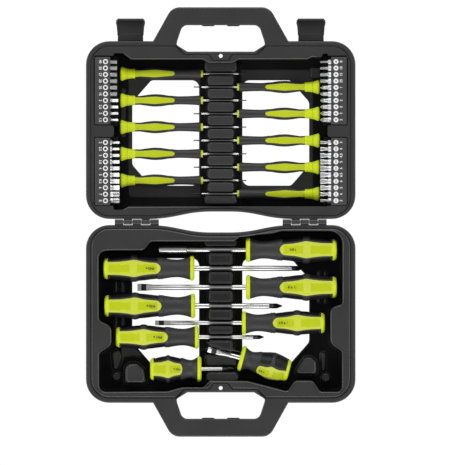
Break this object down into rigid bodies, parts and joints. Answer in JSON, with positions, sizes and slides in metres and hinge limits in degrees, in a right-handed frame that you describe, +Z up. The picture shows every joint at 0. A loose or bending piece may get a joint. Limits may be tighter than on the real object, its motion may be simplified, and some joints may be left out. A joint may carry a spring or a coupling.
{
  "type": "hard tool case",
  "caption": "Blow-moulded two-part tool case lying open, with a hinged lid, two latches, a carrying handle and seated screwdrivers, precision drivers and bit racks.",
  "frame": {"origin": "middle of the opened case on the surface it lies on, under the hinge line", "axes": "+X along the hinge line to the right, +Y from the base to the lid, +Z up"},
  "size_m": [0.31, 0.494, 0.0362],
  "materials": {
    "case_plastic": "fine-grained moulded, dark grey",
    "latch_plastic": "smooth moulded, near black",
    "rack_plastic": "smooth moulded with white printed marks",
    "hinge_steel": "drawn wire",
    "bit_steel": "satin, sand-blasted",
    "blade_chrome": "bright chrome plate with a darkened tip",
    "handle_plastic": "lime core with a black soft overmould",
    "cap_plastic": "satin lime"
  },
  "bodies": {
    "base": {"base_shell": "case_plastic", "hinge_pins": "hinge_steel"},
    "lid": {"lid_shell": "case_plastic"},
    "latch_left": {"latch_left": "latch_plastic"},
    "latch_right": {"latch_right": "latch_plastic"},
    "rack_upper_left": {"rack_upper_left": "rack_plastic", "bits_upper_left": "bit_steel"},
    "rack_upper_right": {"rack_upper_right": "rack_plastic", "bits_upper_right": "bit_steel"},
    "rack_lower_left": {"rack_lower_left": "rack_plastic", "bits_lower_left": "bit_steel"},
    "rack_lower_right": {"rack_lower_right": "rack_plastic", "bits_lower_right": "bit_steel"},
    "long_phillips_driver": {"long_phillips_handle": "handle_plastic", "long_phillips_blade": "blade_chrome"},
    "phillips_driver": {"phillips_handle": "handle_plastic", "phillips_blade": "blade_chrome"},
    "small_phillips_driver": {"small_phillips_handle": "handle_plastic", "small_phillips_blade": "blade_chrome"},
    "stubby_phillips_driver": {"stubby_phillips_handle": "handle_plastic", "stubby_phillips_blade": "blade_chrome"},
    "bit_holder_driver": {"bit_holder_handle": "handle_plastic", "bit_holder_shaft": "blade_chrome"},
    "long_slotted_driver": {"long_slotted_handle": "handle_plastic", "long_slotted_blade": "blade_chrome"},
    "slotted_driver": {"slotted_handle": "handle_plastic", "slotted_blade": "blade_chrome"},
    "stubby_slotted_driver": {"stubby_slotted_handle": "handle_plastic", "stubby_slotted_blade": "blade_chrome"},
    "precision_1": {"precision_1_handle": "handle_plastic", "precision_1_blade": "blade_chrome"},
    "precision_1_swivel": {"precision_1_cap": "cap_plastic"},
    "precision_2": {"precision_2_handle": "handle_plastic", "precision_2_blade": "blade_chrome"},
    "precision_2_swivel": {"precision_2_cap": "cap_plastic"},
    "precision_3": {"precision_3_handle": "handle_plastic", "precision_3_blade": "blade_chrome"},
    "precision_3_swivel": {"precision_3_cap": "cap_plastic"},
    "precision_4": {"precision_4_handle": "handle_plastic", "precision_4_blade": "blade_chrome"},
    "precision_4_swivel": {"precision_4_cap": "cap_plastic"},
    "precision_5": {"precision_5_handle": "handle_plastic", "precision_5_blade": "blade_chrome"},
    "precision_5_swivel": {"precision_5_cap": "cap_plastic"},
    "precision_6": {"precision_6_handle": "handle_plastic", "precision_6_blade": "blade_chrome"},
    "precision_6_swivel": {"precision_6_cap": "cap_plastic"},
    "precision_7": {"precision_7_handle": "handle_plastic", "precision_7_blade": "blade_chrome"},
    "precision_7_swivel": {"precision_7_cap": "cap_plastic"},
    "precision_8": {"precision_8_handle": "handle_plastic", "precision_8_blade": "blade_chrome"},
    "precision_8_swivel": {"precision_8_cap": "cap_plastic"},
    "precision_9": {"precision_9_handle": "handle_plastic", "precision_9_blade": "blade_chrome"},
    "precision_9_swivel": {"precision_9_cap": "cap_plastic"},
    "precision_10": {"precision_10_handle": "handle_plastic", "precision_10_blade": "blade_chrome"},
    "precision_10_swivel": {"precision_10_cap": "cap_plastic"}
  },
  "joints": [
    {"name": "lid_hinge", "type": "hinge", "parent": "base", "child": "lid", "pos_m": [0, 0, 0.03325], "axis": [-1, 0, 0], "range_deg": [-180, 0]},
    {"name": "latch_left_pivot", "type": "hinge", "parent": "lid", "child": "latch_left", "pos_m": [-0.104, 0.2044, 0.019], "axis": [-1, 0, 0], "range_deg": [-90, 0]},
    {"name": "latch_right_pivot", "type": "hinge", "parent": "lid", "child": "latch_right", "pos_m": [0.104, 0.2044, 0.019], "axis": [-1, 0, 0], "range_deg": [-90, 0]},
    {"name": "rack_upper_left_lift", "type": "slide", "parent": "lid", "child": "rack_upper_left", "axis": [0, 0, 1], "range_m": [0, 0.05]},
    {"name": "rack_upper_right_lift", "type": "slide", "parent": "lid", "child": "rack_upper_right", "axis": [0, 0, 1], "range_m": [0, 0.05]},
    {"name": "rack_lower_left_lift", "type": "slide", "parent": "lid", "child": "rack_lower_left", "axis": [0, 0, 1], "range_m": [0, 0.05]},
    {"name": "rack_lower_right_lift", "type": "slide", "parent": "lid", "child": "rack_lower_right", "axis": [0, 0, 1], "range_m": [0, 0.05]},
    {"name": "long_phillips_lift", "type": "slide", "parent": "base", "child": "long_phillips_driver", "axis": [0, 0, 1], "range_m": [0, 0.08]},
    {"name": "phillips_lift", "type": "slide", "parent": "base", "child": "phillips_driver", "axis": [0, 0, 1], "range_m": [0, 0.08]},
    {"name": "small_phillips_lift", "type": "slide", "parent": "base", "child": "small_phillips_driver", "axis": [0, 0, 1], "range_m": [0, 0.08]},
    {"name": "stubby_phillips_lift", "type": "slide", "parent": "base", "child": "stubby_phillips_driver", "axis": [0, 0, 1], "range_m": [0, 0.08]},
    {"name": "bit_holder_lift", "type": "slide", "parent": "base", "child": "bit_holder_driver", "axis": [0, 0, 1], "range_m": [0, 0.08]},
    {"name": "long_slotted_lift", "type": "slide", "parent": "base", "child": "long_slotted_driver", "axis": [0, 0, 1], "range_m": [0, 0.08]},
    {"name": "slotted_lift", "type": "slide", "parent": "base", "child": "slotted_driver", "axis": [0, 0, 1], "range_m": [0, 0.08]},
    {"name": "stubby_slotted_lift", "type": "slide", "parent": "base", "child": "stubby_slotted_driver", "axis": [0, 0, 1], "range_m": [0, 0.08]},
    {"name": "precision_1_lift", "type": "slide", "parent": "lid", "child": "precision_1", "axis": [0, 0, 1], "range_m": [0, 0.06]},
    {"name": "precision_2_lift", "type": "slide", "parent": "lid", "child": "precision_2", "axis": [0, 0, 1], "range_m": [0, 0.06]},
    {"name": "precision_3_lift", "type": "slide", "parent": "lid", "child": "precision_3", "axis": [0, 0, 1], "range_m": [0, 0.06]},
    {"name": "precision_4_lift", "type": "slide", "parent": "lid", "child": "precision_4", "axis": [0, 0, 1], "range_m": [0, 0.06]},
    {"name": "precision_5_lift", "type": "slide", "parent": "lid", "child": "precision_5", "axis": [0, 0, 1], "range_m": [0, 0.06]},
    {"name": "precision_6_lift", "type": "slide", "parent": "lid", "child": "precision_6", "axis": [0, 0, 1], "range_m": [0, 0.06]},
    {"name": "precision_7_lift", "type": "slide", "parent": "lid", "child": "precision_7", "axis": [0, 0, 1], "range_m": [0, 0.06]},
    {"name": "precision_8_lift", "type": "slide", "parent": "lid", "child": "precision_8", "axis": [0, 0, 1], "range_m": [0, 0.06]},
    {"name": "precision_9_lift", "type": "slide", "parent": "lid", "child": "precision_9", "axis": [0, 0, 1], "range_m": [0, 0.06]},
    {"name": "precision_10_lift", "type": "slide", "parent": "lid", "child": "precision_10", "axis": [0, 0, 1], "range_m": [0, 0.06]},
    {"name": "precision_1_spin", "type": "hinge", "parent": "precision_1", "child": "precision_1_swivel", "pos_m": [-0.112, 0.171, 0.01145], "axis": [1, 0, 0], "continuous": true},
    {"name": "precision_2_spin", "type": "hinge", "parent": "precision_2", "child": "precision_2_swivel", "pos_m": [0.11, 0.1556, 0.01145], "axis": [1, 0, 0], "continuous": true},
    {"name": "precision_3_spin", "type": "hinge", "parent": "precision_3", "child": "precision_3_swivel", "pos_m": [-0.112, 0.1402, 0.01145], "axis": [1, 0, 0], "continuous": true},
    {"name": "precision_4_spin", "type": "hinge", "parent": "precision_4", "child": "precision_4_swivel", "pos_m": [0.11, 0.1248, 0.01145], "axis": [1, 0, 0], "continuous": true},
    {"name": "precision_5_spin", "type": "hinge", "parent": "precision_5", "child": "precision_5_swivel", "pos_m": [-0.112, 0.1094, 0.01145], "axis": [1, 0, 0], "continuous": true},
    {"name": "precision_6_spin", "type": "hinge", "parent": "precision_6", "child": "precision_6_swivel", "pos_m": [0.11, 0.094, 0.01145], "axis": [1, 0, 0], "continuous": true},
    {"name": "precision_7_spin", "type": "hinge", "parent": "precision_7", "child": "precision_7_swivel", "pos_m": [-0.112, 0.0786, 0.01145], "axis": [1, 0, 0], "continuous": true},
    {"name": "precision_8_spin", "type": "hinge", "parent": "precision_8", "child": "precision_8_swivel", "pos_m": [0.11, 0.0632, 0.01145], "axis": [1, 0, 0], "continuous": true},
    {"name": "precision_9_spin", "type": "hinge", "parent": "precision_9", "child": "precision_9_swivel", "pos_m": [-0.112, 0.0478, 0.01145], "axis": [1, 0, 0], "continuous": true},
    {"name": "precision_10_spin", "type": "hinge", "parent": "precision_10", "child": "precision_10_swivel", "pos_m": [0.11, 0.0324, 0.01145], "axis": [1, 0, 0], "continuous": true}
  ]
}
